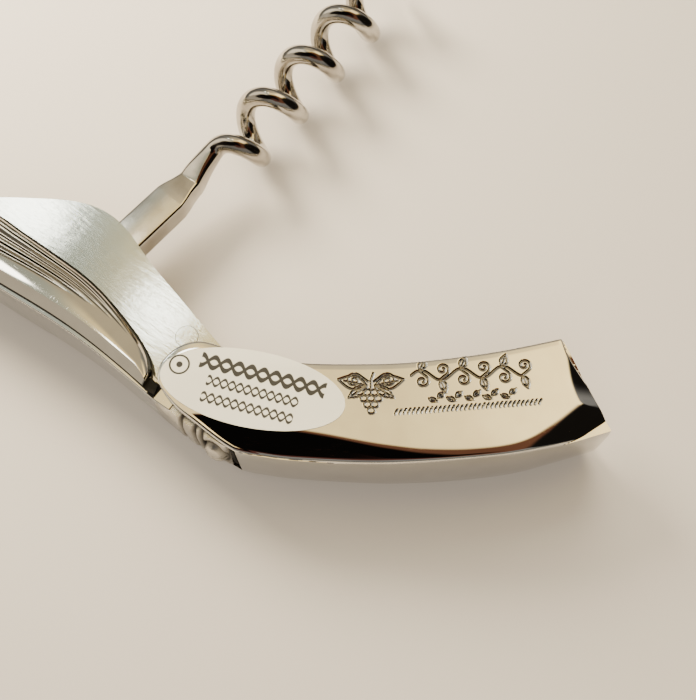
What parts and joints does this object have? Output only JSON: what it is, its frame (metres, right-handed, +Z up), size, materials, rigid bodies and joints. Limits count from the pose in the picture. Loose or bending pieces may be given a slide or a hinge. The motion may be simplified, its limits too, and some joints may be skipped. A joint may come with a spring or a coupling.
{
  "type": "lever corkscrew",
  "caption": "Pocket corkscrew with a curved steel handle, a folding worm, a channel-shaped folding lever and a folding foil blade, shown lying on its side with worm and lever open.",
  "frame": {"origin": "middle of the box's base, on the surface that the corkscrew lies on", "axes": "+X along the opened lever, from its hinge to its tip; +Z up, along the hinge pins, from the right side to the left side"},
  "size_m": [0.1482, 0.0866, 0.0132],
  "materials": {
    "polished_steel": "mirror-polished stainless steel with fine buffing marks",
    "liner_steel": "finely ground stainless steel",
    "worm_steel": "bright drawn steel wire",
    "blade_steel": "ground blade steel",
    "rivet_steel": "flush polished rivet",
    "label": "silver-white adhesive label"
  },
  "bodies": {
    "handle": {"scale_left": "polished_steel", "scale_right": "polished_steel", "rear_bolster_left": "polished_steel", "rear_bolster_right": "polished_steel", "back_spring": "polished_steel", "lever_pin": "rivet_steel", "worm_pin": "rivet_steel", "blade_pin": "rivet_steel", "front_rivet": "rivet_steel", "spring_rivet_front": "rivet_steel", "spring_rivet_rear": "rivet_steel", "handle_rivet_front": "rivet_steel", "handle_rivet_rear": "rivet_steel", "liner_left": "liner_steel", "liner_right": "liner_steel", "front_spacer": "liner_steel", "blade_spring": "liner_steel", "lever_washer_left": "liner_steel", "lever_washer_right": "liner_steel", "blade_washer_left": "liner_steel", "blade_washer_right": "liner_steel"},
    "lever": {"lever": "polished_steel", "oval_label": "label"},
    "worm": {"worm": "worm_steel"},
    "foil_blade": {"foil_blade": "blade_steel"}
  },
  "joints": [
    {"name": "worm_hinge", "type": "hinge", "parent": "handle", "child": "worm", "pos_m": [0.00333, -0.01371, 0.0065], "axis": [0, 0, 1], "range_deg": [0, 92]},
    {"name": "lever_hinge", "type": "hinge", "parent": "handle", "child": "lever", "pos_m": [0.01957, -0.03021, 0.0065], "axis": [0, 0, 1], "range_deg": [0, 139]},
    {"name": "blade_hinge", "type": "hinge", "parent": "handle", "child": "foil_blade", "pos_m": [-0.06545, 0.0281, 0.0065], "axis": [0, 0, -1], "range_deg": [0, 178]}
  ],
  "couplings": [
    {"joint": "lever_hinge", "follows": "worm_hinge", "ratio": 1.5109}
  ]
}
